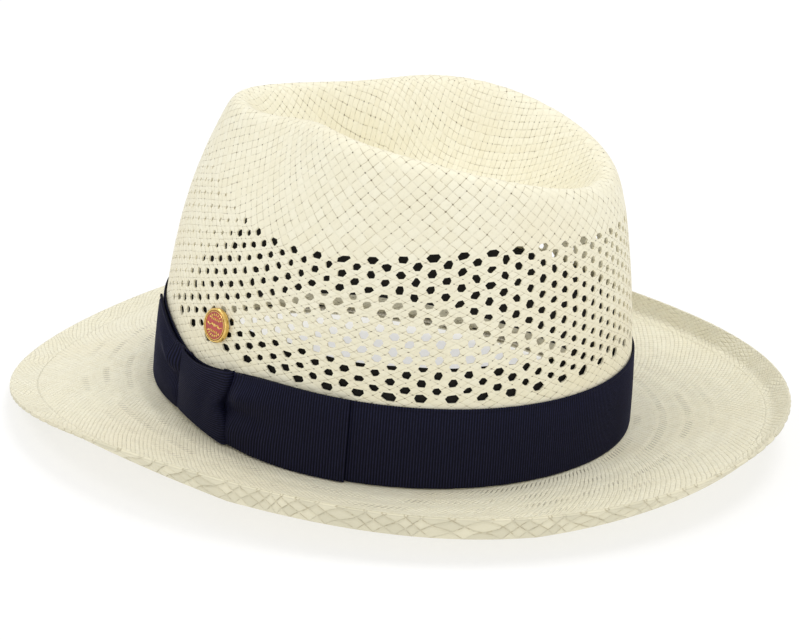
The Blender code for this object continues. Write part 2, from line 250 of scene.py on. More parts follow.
def curl_section(psi, steps):
    """Points (angle, step, out and up) of the turned-up edge, from the fold to the top."""
    width, height, curl = brim_outline(psi)
    steep = np.arcsin(np.minimum(curl / CURL_LENGTH * 1.12, 0.97))
    start = np.arctan2(height - curl - saddle(psi), width - CURL_LENGTH / 2)
    step = CURL_LENGTH / steps
    out, up = width - 0.9 * MM, height
    points = [np.stack([out, up], -1)]
    for i in reversed(range(steps)):
        along = min((i + 0.5) * step / CURL_BEND, 1)
        lean = start + (steep - start) * along * along * (3 - 2 * along)
        out, up = out - step * np.cos(lean), up - step * np.sin(lean)
        points.insert(0, np.stack([out, up], -1))
    return np.stack(points, 1)


def brim_points(psi, out, up):
    plan = head_oval(psi) + head_outward(psi) * out[..., None]
    return np.concatenate([plan, up[..., None]], -1)


# ---------------------------------------------------------------- mesh helpers


def linked(name, data):
    obj = bpy.data.objects.new(name, data)
    bpy.context.collection.objects.link(obj)
    return obj


def finish_piece(obj, body, replaced):
    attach(obj, body)
    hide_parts(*replaced)


def mesh_piece(name, points, faces, mat, uvs=None):
    """A mesh object from points in the hat's level frame. uvs holds one pair for each face corner."""
    mesh = bpy.data.meshes.new(name)
    mesh.from_pydata(np.asarray(points).tolist(), [], [tuple(f) for f in faces])
    if uvs is not None:
        layer = mesh.uv_layers.new(name="weave")
        layer.data.foreach_set("uv", np.asarray(uvs, np.float32).ravel())
    mesh.transform(LEVEL)
    mesh.materials.append(mat)
    mesh.shade_smooth()
    mesh.update()
    return linked(name, mesh)


def grid_piece(name, points, mat, around=True, uv=None, flip=False):
    """A sheet from a (columns, rows, 3) array of points. uv has one more column when it goes around."""
    columns, rows = points.shape[:2]
    count = columns if around else columns - 1
    c, r = np.meshgrid(np.arange(count), np.arange(rows - 1), indexing="ij")
    c, r = c.ravel(), r.ravel()
    corners = np.stack([(c, r), (c + 1, r), (c + 1, r + 1), (c, r + 1)], 1)
    if flip:
        corners = corners[:, ::-1]
    faces = (corners[0] % columns) * rows + corners[1]
    uvs = None
    if uv is not None:
        uvs = uv[corners[0].T, corners[1].T]
    return mesh_piece(name, points.reshape(-1, 3), faces.T, mat, uvs)


def solidify(obj, thickness):
    """Gives a sheet its thickness, on the side away from its normals."""
    modifier = obj.modifiers.new("thickness", "SOLIDIFY")
    modifier.thickness = thickness
    modifier.offset = -1
    return modifier


class Recipe:
    """Short calls that build a Principled material's nodes."""

    def __init__(self, name, roughness, metallic=0.0):
        self.mat = bpy.data.materials.new(name)
        self.mat.use_nodes = True
        self.tree = self.mat.node_tree
        self.shader = self.tree.nodes["Principled BSDF"]
        self.shader.inputs["Roughness"].default_value = roughness
        self.shader.inputs["Metallic"].default_value = metallic

    def node(self, kind, **settings):
        node = self.tree.nodes.new(kind)
        for key, value in settings.items():
            setattr(node, key, value)
        return node

    def link(self, value, socket):
        if hasattr(value, "links"):
            self.tree.links.new(value, socket)
        else:
            socket.default_value = value

    def math(self, operation, *values):
        node = self.node("ShaderNodeMath", operation=operation)
        for value, socket in zip(values, node.inputs):
            self.link(value, socket)
        return node.outputs[0]

    def uv(self):
        node = self.node("ShaderNodeUVMap", uv_map="weave")
        split = self.node("ShaderNodeSeparateXYZ")
        self.link(node.outputs[0], split.inputs[0])
        return split.outputs[0], split.outputs[1]

    def noise(self, scale, detail):
        place = self.node("ShaderNodeTexCoord")
        node = self.node("ShaderNodeTexNoise")
        self.link(place.outputs["Object"], node.inputs["Vector"])
        node.inputs["Scale"].default_value = scale
        node.inputs["Detail"].default_value = detail
        return node.outputs[0]

    def white(self, value, seed):
        """A random number for each pair of value and seed."""
        node = self.node("ShaderNodeTexWhiteNoise", noise_dimensions="2D")
        joined = self.node("ShaderNodeCombineXYZ")
        self.link(value, joined.inputs[0])
        self.link(seed, joined.inputs[1])
        self.link(joined.outputs[0], node.inputs["Vector"])
        return node.outputs["Value"]

    def ramp(self, value, low, high, to_low=0.0, to_high=1.0):
        """A smooth step from to_low, where value is low, to to_high, where it is high."""
        node = self.node("ShaderNodeMapRange", interpolation_type="SMOOTHSTEP")
        for socket, number in zip(node.inputs, (value, low, high, to_low, to_high)):
            self.link(number, socket)
        return node.outputs[0]

    def mix(self, factor, first, second):
        node = self.node("ShaderNodeMix", data_type="RGBA")
        self.link(factor, node.inputs[0])
        for value, socket in ((first, node.inputs[6]), (second, node.inputs[7])):
            self.link(value if hasattr(value, "links") else (*value, 1.0), socket)
        return node.outputs[2]

    def blend(self, factor, first, second):
        """Number between first and second."""
        step = self.math("SUBTRACT", second, first)
        return self.math("ADD", self.math("MULTIPLY", step, factor), first)

    def bump(self, height, distance):
        node = self.node("ShaderNodeBump")
        node.inputs["Distance"].default_value = distance
        self.link(height, node.inputs["Height"])
        self.link(node.outputs[0], self.shader.inputs["Normal"])

    def colour(self, value):
        self.link(value, self.shader.inputs["Base Color"])


STRAW_LIGHT = (0.92, 0.88, 0.70)
STRAW_MID = (0.885, 0.835, 0.64)
STRAW_WARM = (0.87, 0.79, 0.58)
STRAW_DARK = (0.68, 0.60, 0.39)
STRAW_SEAM = (0.47, 0.4, 0.24)
STRAW_LINE = (0.13, 0.095, 0.05)
STRAW_TONES = (STRAW_MID, STRAW_LIGHT)


def weave_fields(r, a, b, dot_size, dot_share):
    """Height, line darkness, gap dots and strand tone of a plain weave in strand coordinates a and b."""
    whole_a, whole_b = r.math("FLOOR", a), r.math("FLOOR", b)
    part_a, part_b = r.math("FRACT", a), r.math("FRACT", b)
    over = r.math("MODULO", r.math("ABSOLUTE", r.math("ADD", whole_a, whole_b)), 2.0)
    off_a = r.math("ABSOLUTE", r.math("SUBTRACT", r.math("MULTIPLY", part_a, 2.0), 1.0))
    off_b = r.math("ABSOLUTE", r.math("SUBTRACT", r.math("MULTIPLY", part_b, 2.0), 1.0))
    across = r.blend(over, off_b, off_a)
    along = r.blend(over, off_a, off_b)
    arch = r.math("SUBTRACT", 1.0, r.math("POWER", across, 6.0))
    lift = r.math("SUBTRACT", 1.0, r.math("MULTIPLY", r.math("POWER", along, 3.0), 0.6))
    height = r.math("MULTIPLY", arch, lift)
    line = r.ramp(r.math("MAXIMUM", across, r.math("MULTIPLY", along, 0.97)), 0.84, 1.0)
    cell_a, cell_b = r.math("FLOOR", r.math("ADD", a, 0.5)), r.math("FLOOR", r.math("ADD", b, 0.5))
    chance = r.white(cell_a, cell_b)
    near = r.math("MINIMUM", off_a, off_b)
    edge = r.math("ADD", 1 - dot_size, r.math("MULTIPLY", chance, 0.1))
    present = r.ramp(chance, 1 - dot_share, 1.0 - dot_share + 0.15)
    patchy = r.ramp(r.noise(70.0, 2.0), 0.35, 0.6, 0.25, 1.0)
    sharp = r.ramp(r.math("SUBTRACT", near, edge), 0.0, 0.07)
    dot = r.math("MULTIPLY", r.math("MULTIPLY", sharp, present), patchy)
    tone = r.blend(over, r.white(whole_b, 3.7), r.white(whole_a, 8.1))
    return height, line, dot, tone


def straw_material(name, weave, dots, bump_distance, line_strength, marks=None, tones=STRAW_TONES):
    """Natural straw. weave(recipe) gives the strand coordinates, dots the size and share of the gaps."""
    r = Recipe(name, 0.55)
    a, b = weave(r)
    height, line, dot, tone = weave_fields(r, a, b, *dots)
    patches = r.noise(36.0, 3.0)
    clouds = r.noise(14.0, 2.0)
    fibre = r.noise(900.0, 2.0)
    shade = r.math("ADD", r.math("MULTIPLY", tone, 0.35), r.math("MULTIPLY", patches, 0.65))
    base = r.mix(r.ramp(shade, 0.2, 0.8), *tones)
    base = r.mix(r.math("MULTIPLY", r.ramp(clouds, 0.5, 0.72), 0.4), base, STRAW_WARM)
    base = r.mix(r.math("MULTIPLY", r.ramp(fibre, 0.5, 0.8), 0.16), base, STRAW_DARK)
    faint = r.ramp(r.noise(330.0, 2.0), 0.47, 0.58, 0.08, 1.0)
    base = r.mix(r.math("MULTIPLY", r.math("MULTIPLY", line, faint), line_strength), base, STRAW_SEAM)
    gaps = r.math("MAXIMUM", dot, marks(r)) if marks else dot
    base = r.mix(r.math("MULTIPLY", gaps, 0.85), base, STRAW_LINE)
    r.colour(base)
    r.link(r.ramp(shade, 0.0, 1.0, 0.6, 0.42), r.shader.inputs["Roughness"])
    r.shader.inputs["Specular IOR Level"].default_value = 0.4
    rough = r.math("ADD", height, r.math("MULTIPLY", fibre, 0.15))
    r.bump(r.math("SUBTRACT", rough, gaps), bump_distance)
    return r.mat


def strands(r, wander_size, wander_scale):
    """Strand coordinates a and b from the mesh's weave map, bent a little by noise."""
    u, v = r.uv()
    wander = r.math("MULTIPLY", r.math("SUBTRACT", r.noise(wander_scale, 2.0), 0.5), wander_size)
    fine = r.math("MULTIPLY", r.math("SUBTRACT", r.noise(260.0, 1.0), 0.5), 0.22)
    a = r.math("ADD", r.math("ADD", u, v), r.math("ADD", wander, fine))
    b = r.math("SUBTRACT", r.math("SUBTRACT", u, v), r.math("SUBTRACT", wander, fine))
    return a, b


def crown_weave(r):
    return strands(r, 0.5, 28.0)


def brim_weave(r):
    return strands(r, 1.3, 30.0)


def edge_weave(r):
    """The brim's weave carried on over the turned-up edge, whose map counts straws of the braid."""
    u, v = r.uv()
    u = r.math("MULTIPLY", u, BRIM_STRANDS[0] / BRAID_UNITS)
    v = r.math("MULTIPLY", v, EDGE_STRANDS)
    return r.math("ADD", u, v), r.math("SUBTRACT", u, v)


def braid_weave(r):
    """The plait on the outside of the turned-up edge: flat straws that lean both ways and cross."""
    u, v = r.uv()
    wander = r.math("MULTIPLY", r.math("SUBTRACT", r.noise(90.0, 2.0), 0.5), 0.22)
    u = r.math("ADD", u, wander)
    v = r.math("MULTIPLY", v, BRAID_LEAN)
    return r.math("ADD", u, v), r.math("SUBTRACT", u, v)


def brim_ring_marks(r):
    """Short slanting gaps in rings around the brim, where the weaver changes to a new round of straw."""
    u, v = r.uv()
    ring = r.math("DIVIDE", v, RING_STRANDS)
    waves = r.math("MULTIPLY", r.math("SUBTRACT", r.noise(18.0, 1.0), 0.5), 0.5)
    ring = r.math("ADD", ring, waves)
    away = r.math("ABSOLUTE", r.math("SUBTRACT", r.math("FRACT", ring), 0.5))
    near = r.ramp(away, 0.09, 0.2, 1.0, 0.0)
    slant = r.math("FRACT", r.math("ADD", u, r.math("MULTIPLY", v, 0.8)))
    mark = r.ramp(r.math("ABSOLUTE", r.math("SUBTRACT", slant, 0.5)), 0.08, 0.18, 1.0, 0.0)
    patchy = r.ramp(r.noise(55.0, 2.0), 0.4, 0.62)
    fading = r.math("MULTIPLY", patchy, r.ramp(v, 12.0, 19.0, 0.6, 0.1))
    return r.math("MULTIPLY", r.math("MULTIPLY", near, mark), fading)


# ---------------------------------------------------------------- crown


# A cell's outline in columns and half rows: six corners, with the middle of each side between them
CELL_RING = [(2 / 3, 0), (1 / 2, 1 / 2), (1 / 3, 1), (0, 1), (-1 / 3, 1), (-1 / 2, 1 / 2)]
CELL_RING += [(-x, -y) for x, y in CELL_RING]
WEB_RISE = 0.12 * MM  # of the straw where strands cross, over its edges at the holes
HOLE_SIZE_SPREAD = 0.07
HOLE_SKEW_SPREAD = 0.2
HOLE_ANGLE_SPREAD = 0.13
END_HOLE_WIDER = 1.3  # the holes of the lowest and highest row, against the rest
END_HOLE_TALLER = 1.12


def hole_outline(column, row):
    """Twelve points of a hole around its cell's middle: an uneven hexagon, larger in the end rows."""
    around = abs((column / COLUMNS * 360 + 180) % 360 - 180)
    closing = np.clip((row - OPEN_ROWS * (around - 36) / 21) / 4 + 0.5, 0, 1)
    wide = 1 - (1 - SLIT_WIDTH) * closing + RNG.normal(0, HOLE_SIZE_SPREAD)
    tall = 1 - (1 - SLIT_HEIGHT) * closing + RNG.normal(0, HOLE_SIZE_SPREAD)
    if row in (0, OPEN_ROWS) and closing < 0.5:
        wide *= END_HOLE_WIDER
        tall *= END_HOLE_TALLER
    skew = RNG.normal(0, HOLE_SKEW_SPREAD)
    corners = []
    for k in range(6):
        angle = math.pi / 3 * k + RNG.normal(0, HOLE_ANGLE_SPREAD)
        radius = 1 + RNG.normal(0, HOLE_SIZE_SPREAD)
        dy = HOLE_HALF_HEIGHT * tall * radius * math.sin(angle) * 1.08
        corners.append((HOLE_HALF_WIDTH * wide * (radius * math.cos(angle) + skew * dy), dy))
    outline = []
    for k in range(6):
        (x, y), (next_x, next_y) = corners[k], corners[(k + 1) % 6]
        outline += [(x, y), ((x + next_x) / 2, (y + next_y) / 2)]
    return outline


def make_crown(mat):
    """The woven crown: a lattice of six-sided cells, with a hole in each cell of the openwork band."""
    keys = {}
    lattice = []
    rises = []
    faces = []

    def own(x, y, rise=0.0):
        lattice.append((x, y))
        rises.append(rise)
        return len(lattice) - 1

    def corner(x, y):
        """A point that neighbouring cells share, keyed in sixths of a column and halves of a row."""
        key = (round(x * 6) % (COLUMNS * 6), round(y * 2))
        if key not in keys:
            inside = -0.5 <= y <= OPEN_ROWS + 0.5
            keys[key] = own(x, y, WEB_RISE if inside else 0.0)
        return keys[key]

    last = OPEN_ROWS + CLOSED_ROWS - 3
    for row in range(-FOOT_ROWS + 1, last + 1):
        for column in range(row % 2, COLUMNS, 2):
            outline = [corner(column + dx, row + dy) for dx, dy in CELL_RING]
            if 0 <= row <= OPEN_ROWS:
                hole = hole_outline(column, row)
                inner = [own(column + dx, row + dy) for dx, dy in hole]
                for k in range(12):
                    n = (k + 1) % 12
                    faces.append((outline[k], outline[n], inner[n], inner[k]))
            else:
                middle = own(column, row)
                for k in range(0, 12, 2):
                    faces.append((outline[k - 1], outline[k], outline[k + 1], middle))
    close_top(lattice, faces, last)
    rises.append(0.0)
    x, y = np.array(lattice).T
    psi = x / COLUMNS * 2 * math.pi
    points = CROWN.at_row(psi, y)
    points[:, :2] += head_outward(psi) * np.array(rises)[:, None]
    obj = mesh_piece("crown_weave", points, faces, mat, strand_coordinates(points, x, y, faces))
    solidify(obj, 0.8 * MM)
    crisp = obj.modifiers.new("crisp_edges", "EDGE_SPLIT")
    crisp.split_angle = 50 * DEG
    return obj


def close_top(lattice, faces, last):
    """Joins the lattice's upper boundary to one point in the middle of the crease."""
    edges = {(face[k], face[(k + 1) % 4]) for face in faces for k in range(4)}
    rim = [(a, b) for a, b in edges if (b, a) not in edges and lattice[a][1] > last - 2]
    middle = len(lattice)
    lattice.append((0.0, float(OPEN_ROWS + CLOSED_ROWS)))
    faces.extend((b, a, middle) for a, b in sorted(rim))


def strand_coordinates(points, x, y, faces):
    """For each face corner a pair u, v such that the strands' edges lie where u + v or u - v is whole."""
    height = np.where(y <= OPEN_ROWS, y, OPEN_ROWS + (y - OPEN_ROWS) / 2)
    ridge = np.interp(x % COLUMNS, np.arange(CROWN.count) * COLUMNS / CROWN.count, CROWN.ridge_row)
    in_dish = y > ridge + 1
    square = points[:, :2] / DISH_SQUARE
    uvs = []
    for face in faces:
        if all(in_dish[k] for k in face):
            uvs += [((square[k, 0] + square[k, 1]) / 2, (square[k, 0] - square[k, 1]) / 2) for k in face]
            continue
        base = x[face[0]]
        uvs += [(x[k] + COLUMNS * round((base - x[k]) / COLUMNS), height[k]) for k in face]
    return uvs


# ---------------------------------------------------------------- brim and its edge


RING_STRANDS = 4.3  # strands between two rings of marks
BRIM_STRANDS = (300, 24)  # around and across
EDGE_STRANDS = 5.5  # across the inside of the turned-up edge
BRAID_UNITS = 122  # straws around the outside of the edge
# Darker copies of the straw tones for the plait on the edge's outside: painted shade on the face that turns
# down and away from the light
BRAID_PAINTED_SHADE_TONES = ((0.66, 0.62, 0.46), (0.80, 0.75, 0.56))
BRAID_LEAN = 2.1  # straws that one straw crosses over the width of the turned-up edge
BRAID_FOOT = 0.3  # below this share of the edge the straws lie flat
BRAID_RELIEF = 0.5  # of the thickness


def make_brim(mat):
    columns, rows = 480, 60
    psi = np.linspace(0, 2 * math.pi, columns, endpoint=False)
    fold = curl_section(psi, 24)[:, 0]
    part = np.linspace(0, 1, rows)[None, :]
    level = saddle(psi)[:, None]
    out = fold[:, :1] * part - WEAVE * (1 - part)
    rise = (fold[:, 1:] - level) * part * (0.55 + 0.45 * part)
    points = brim_points(psi[:, None] * np.ones_like(part), out, level + rise)
    uv = np.zeros((columns + 1, rows, 2))
    uv[..., 0] = np.linspace(0, BRIM_STRANDS[0], columns + 1)[:, None]
    uv[..., 1] = np.linspace(0, BRIM_STRANDS[1], rows)[None, :]
    ripple = 0.16 * MM * np.sin(2 * math.pi * uv[:-1, :, 1] / RING_STRANDS + 0.4 * np.sin(5 * psi[:, None]))
    points[..., 2] += ripple * np.minimum(4 * part * (1 - part) + 0.2, 1)
    obj = grid_piece("brim_weave", points, mat, uv=uv, flip=True)
    solidify(obj, 1.1 * MM)
    return obj


def braid_drift(psi):
    """Uneven spacing of the edge's straws, in units."""
    return 0.5 * np.sin(7 * psi + 1) + 0.3 * np.sin(19 * psi) + 0.12 * np.sin(53 * psi)


def make_brim_edge(top_mat, braid_mat):
    """The turned-up edge: woven inside, and outside a plait of flat straws that lean both ways."""
    per_unit, rows = 16, 30
    columns = BRAID_UNITS * per_unit
    psi = np.linspace(0, 2 * math.pi, columns, endpoint=False)
    section = curl_section(psi, rows - 1)
    points = brim_points(psi[:, None] * np.ones(rows), section[..., 0], section[..., 1])
    around = (np.arange(columns + 1) / per_unit) + braid_drift(np.append(psi, 0))
    w = np.linspace(0, 1, rows)[None, :]
    crossings = [around[:-1, None] + lean * BRAID_LEAN * w for lean in (1, -1)]
    from_line = np.minimum(*(np.abs(a - np.round(a)) for a in crossings))
    relief = np.clip((w - BRAID_FOOT) / 0.2, 0, 1) * (1 - np.clip(from_line / 0.16, 0, 1) ** 0.5)
    uv = np.zeros((columns + 1, rows, 2))
    uv[..., 0] = around[:, None]
    uv[..., 1] = w
    obj = grid_piece("brim_edge_braid", points, top_mat, uv=uv, flip=True)
    obj.data.materials.append(braid_mat)
    group = obj.vertex_groups.new(name="straw_thickness")
    weights = np.round((1 - BRAID_RELIEF * relief).ravel(), 2)
    for weight in np.unique(weights):
        group.add(np.flatnonzero(weights == weight).tolist(), float(weight), "REPLACE")
    modifier = solidify(obj, 1.3 * MM)
    modifier.vertex_group = group.name
    # The outer face and the rims get the plait's material, whose darker straw is painted shade
    modifier.material_offset = 1
    modifier.material_offset_rim = 1
    return obj


# ---------------------------------------------------------------- ribbon, bow and sweatband

RIBS_AROUND = 560
RIB_PROFILE = (0.0, 0.7, 1.0, 0.7)
RIB_DEPTH = 0.32 * MM
BAND_SURFACE = GAP + 0.75 * MM
BAND_FOOT = 0.7 * MM
FLAP_RISE = 1.3 * MM
KNOT_GATHER = (6.8 * MM, 2.8 * MM)  # of the ribbon's upper and lower edge at the knot
KNOT_PULL = (56 * DEG, 15 * DEG)
REAR_DIP = 2.0 * MM
REAR_PULL = (160 * DEG, 45 * DEG)
KNOT_HALF = 10.0 * DEG
KNOT_MIDDLE = 60 * DEG
KNOT_PUFF = 2.8 * MM
KNOT_DENT = 0.7 * MM
KNOT_WAIST = 0.22
FLAP_UPPER_FOLD = 4.4 * MM
FLAP_LOWER_FOLD = 2.0 * MM
FLAP_VALLEY = 1.3 * MM
SELVEDGE = 0.955  # height of the ribs' gap near a loop's upper edge, of the ribbon's width


def band_foot(psi):
    """Height of the ribbon's lower edge, drawn up at the knot."""
    return BAND_FOOT + KNOT_GATHER[1] * bell(psi, *KNOT_PULL)


def band_top(psi):
    """Height of the ribbon's upper edge, drawn down at the knot and a little at the rear."""
    return BAND_TOP - KNOT_GATHER[0] * bell(psi, *KNOT_PULL) - REAR_DIP * bell(psi, *REAR_PULL)


def rib_heights(count):
    return np.tile(RIB_PROFILE, count) * RIB_DEPTH


def rib_map(columns, rows, ribs, across=False):
    """UV pairs that count ribs along the ribbon, or up it."""
    uv = np.zeros((columns, rows, 2))
    if across:
        uv[..., 0] = np.linspace(0, ribs, rows)[None, :]
    else:
        uv[..., 0] = np.linspace(0, ribs, columns)[:, None]
    return uv


def make_hatband(mat):
    columns = RIBS_AROUND * len(RIB_PROFILE)
    psi = np.linspace(0, 2 * math.pi, columns, endpoint=False)[:, None]
    part = np.array([0, 0.02, 0.05, 0.3, 0.6, 0.94, 0.952, 0.964, 0.98, 1.0])[None, :]
    depth = np.array([0.3, 0.6, 1, 1, 1, 1, 0.0, 1, 1, 0.5])[None, :]
    foot, top = band_foot(psi), band_top(psi)
    ribs = rib_heights(RIBS_AROUND)[:, None] * depth
    points = CROWN.at_height(psi, foot + (top - foot) * part, BAND_SURFACE - RIB_DEPTH + ribs)
    uv = rib_map(columns + 1, part.size, RIBS_AROUND)
    obj = grid_piece("hatband_grosgrain", points, mat, uv=uv)
    solidify(obj, 0.4 * MM)
    return obj


def grosgrain_material(name, colour):
    """Ribbed navy cloth, with a painted highlight on the ribs' crests and painted shade on the darker
    threads between them.
    """
    r = Recipe(name, 0.6)
    u, _ = r.uv()
    rib = r.math("ABSOLUTE", r.math("SUBTRACT", r.math("FRACT", r.math("ADD", u, 0.5)), 0.5))
    painted_rib_highlight = r.ramp(rib, 0.12, 0.45)
    thread = r.noise(1400.0, 2.0)
    cloud = r.noise(45.0, 2.0)
    # Painted highlight: the ribs' crests are 2.6 times the navy. Painted shade: the grooves between the ribs
    # are a quarter of it
    light = tuple(2.6 * c for c in colour)
    dark = tuple(0.25 * c for c in colour)
    base = r.mix(r.math("MULTIPLY", painted_rib_highlight, r.ramp(thread, 0.25, 0.7, 0.5, 1.0)), dark, light)
    base = r.mix(r.math("MULTIPLY", cloud, 0.35), base, colour)
    r.colour(base)
    r.shader.inputs["Sheen Weight"].default_value = 0.02
    r.shader.inputs["Sheen Roughness"].default_value = 0.35
    r.shader.inputs["Sheen Tint"].default_value = (0.35, 0.4, 1.0, 1)
    r.shader.inputs["Specular IOR Level"].default_value = 0.1
    r.bump(thread, 0.06 * MM)
    return r.mat


def make_bow(mat):
    flap("bow_flap_rear", 66, 99.8, mat, "bow_loop_rear")
    flap("bow_flap_front", 54, 26, mat, "bow_loop_front")
    make_knot(mat)


def flap(name, first, last, mat, node):
    """One loop of the bow: gathered where it comes out of the knot, and flat towards its free end."""
    ribs = round(abs(last - first) / 360 * RIBS_AROUND)
    columns = ribs * len(RIB_PROFILE) + 1
    psi = np.linspace(first * DEG, last * DEG, columns)[:, None]
    w = np.linspace(0, 1, 41)[None, :]
    away = np.abs(psi - first * DEG) / DEG
    gather = np.exp(-((away / 9.5) ** 2))
    swell = np.clip((away - 2) / 4, 0, 1) * np.exp(-((away / 13) ** 2))
    fold = 0.46 + 0.05 * np.minimum(away / 12, 1)
    upper = np.exp(-(((w - fold - 0.23) / 0.17) ** 2))
    lower = np.exp(-(((w - fold + 0.25) / 0.16) ** 2))
    valley = np.exp(-(((w - fold) / 0.08) ** 2))
    relief = swell * (FLAP_UPPER_FOLD * upper + FLAP_LOWER_FOLD * lower) - FLAP_VALLEY * valley * gather
    arch = 1 + 0.25 * np.sin(math.pi * np.clip(away / 30, 0, 1))
    relief += FLAP_RISE * np.clip(away / 5, 0, 1) * arch
    degree = (psi[-1] - psi[0]) / abs(last - first)
    fanned = psi + degree * 2.2 * swell * np.sin(math.pi * (w - fold))
    foot, top = band_foot(psi) + 0.2 * MM, band_top(psi) + 0.6 * MM
    height = foot + (top - foot) * w
    ribbed = np.where(np.abs(w - SELVEDGE) < 0.012, 0, 1)
    ribs_up = np.concatenate([rib_heights(ribs), [0.0]])[:, None] * ribbed
    points = CROWN.at_height(fanned, height, BAND_SURFACE + relief + ribs_up)
    uv = rib_map(columns, w.size, ribs)
    obj = grid_piece(name, points, mat, around=False, uv=uv, flip=last < first)
    solidify(obj, 0.8 * MM)
    finish_piece(obj, "hat", (node,))


def make_knot(mat):
    """The strip wrapped around the middle of the bow, its ribs running level, drawn in at its rear edge."""
    ribs = 34
    rows = ribs * len(RIB_PROFILE) + 1
    c = np.linspace(-1, 1, 45)[:, None]
    w = np.linspace(0, 1, rows)[None, :]
    waist = 1 - KNOT_WAIST * np.exp(-(((w - 0.52) / 0.22) ** 2)) * (c > 0) * np.abs(c)
    psi = KNOT_MIDDLE + KNOT_HALF * c * waist
    rear_side = (1 + c) / 2
    foot = band_foot(psi) + 0.2 * MM - 0.8 * MM * rear_side
    top = band_top(psi) + 0.6 * MM + 0.5 * MM * rear_side
    height = foot + (top - foot) * (w + 0.05 * c * np.sin(2 * math.pi * w))
    edge = np.clip((1 - np.abs(c)) / 0.1, 0, 1) ** 0.5
    puff = KNOT_PUFF * (1 - (0.8 * c - 0.2) ** 2) * edge * (0.35 + 0.65 * np.sin(math.pi * w) ** 0.7)
    dent = KNOT_DENT * np.exp(-(((c - 0.35 - 0.5 * (w - 0.5)) / 0.25) ** 2)) * np.sin(math.pi * w)
    ribs_up = np.concatenate([rib_heights(ribs), [0.0]])[None, :]
    base = (1.0 + 0.9 * rear_side) * MM * edge + 0.6 * MM
    points = CROWN.at_height(psi + 0 * w, height + 0 * c, BAND_SURFACE + base + puff - dent + ribs_up)
    uv = rib_map(c.size, rows, ribs, across=True)
    obj = grid_piece("bow_knot_strip", points, mat, around=False, uv=uv)
    solidify(obj, 0.5 * MM)
    finish_piece(obj, "hat", ("bow_knot",))


def make_sweatband(mat):
    columns, rows = 360, 22
    psi = np.linspace(0, 2 * math.pi, columns, endpoint=False)[:, None]
    w = np.linspace(0, 1, rows)[None, :]
    wave = 0.35 * MM * (np.sin(9 * psi + 1) + np.sin(14 * psi)) * w**2
    bottom = SWEATBAND_BOTTOM + SWEATBAND_LIFT * bell(psi, -75 * DEG, 75 * DEG)
    height = bottom + (SWEATBAND_TOP - bottom) * w + wave
    inward = -WEAVE - GAP - 0.3 * MM - np.abs(wave)
    points = CROWN.at_height(psi, height, inward)
    obj = grid_piece("sweatband_cotton", points, mat)
    solidify(obj, 0.8 * MM)
    return obj


def cotton_material(name, colour):
    r = Recipe(name, 0.9)
    threads = r.noise(1200.0, 2.0)
    dark = tuple(0.6 * c for c in colour)
    light = tuple(1.4 * c for c in colour)
    r.colour(r.mix(r.ramp(threads, 0.3, 0.8), dark, light))
    r.bump(threads, 0.1 * MM)
    return r.mat


# ---------------------------------------------------------------- pin

BADGE = next(m for m in frame["record"]["mounts"] if m["name"] == "badge_face")
BADGE_OUT = Vector(BADGE["axis"])
ORNAMENT_RISE = 0.3 * MM
ORNAMENT_SINK = 0.03 * MM  # into the enamel


def add_ring(builder, radius, width, count=64):
    """A raised ring with sloping sides, around the badge's middle."""
    section = [(radius - width, 0), (radius - width / 2, ORNAMENT_RISE)]
    section += [(radius + width / 2, ORNAMENT_RISE), (radius + width, 0)]
    turns = [2 * math.pi * k / count for k in range(count)]
    rings = []
    for r, z in section:
        rings.append([builder.verts.new((r * math.cos(a), r * math.sin(a), z)) for a in turns])
    for inner, outer in zip(rings, rings[1:]):
        for k in range(count):
            n = (k + 1) % count
            builder.faces.new((inner[k], outer[k], outer[n], inner[n]))


def add_blob(builder, x, y, long, wide, turn=0.0, count=14):
    """A raised bead or leaf at x, y: an egg-shaped outline that narrows upwards."""
    outline = []
    for k in range(count):
        a = 2 * math.pi * k / count
        px, py = long * math.cos(a), wide * math.sin(a) * (1 - 0.35 * math.cos(a))
        turned_x = px * math.cos(turn) - py * math.sin(turn)
        turned_y = px * math.sin(turn) + py * math.cos(turn)
        outline.append((x + turned_x, y + turned_y))
    middle = np.mean(outline, 0)
    tops = [middle + (np.array(point) - middle) * 0.6 for point in outline]
    low = [builder.verts.new((x, y, 0)) for x, y in outline]
    high = [builder.verts.new((x, y, ORNAMENT_RISE)) for x, y in tops]
    for k in range(count):
        n = (k + 1) % count
        builder.faces.new((low[k], low[n], high[n], high[k]))
    builder.faces.new(high)


def add_ornament(builder):
    """A ring, two arcs and two rows of beads and a scroll of leaves. No letters."""
    add_ring(builder, 5.65 * MM, 0.22 * MM)
    arc = 4.35 * MM
    for side in (1, -1):
        for k in range(-3, 4):
            angle = side * math.pi / 2 + 0.29 * k
            add_blob(builder, arc * math.cos(angle), arc * math.sin(angle), 0.62 * MM, 0.36 * MM, angle)
        for k in range(-2, 3):
            add_blob(builder, 1.05 * k * MM, side * 2.45 * MM, 0.62 * MM, 0.3 * MM, math.pi / 2)
        for k in range(1, 4):
            turn = 0.5 * side if k % 2 else -0.5 * side
            place = side * 1.25 * k * MM, 0.25 * MM * math.sin(2 * k)
            add_blob(builder, *place, 0.95 * MM, 0.36 * MM, turn)
    add_blob(builder, 0, 0, 0.7 * MM, 0.7 * MM)


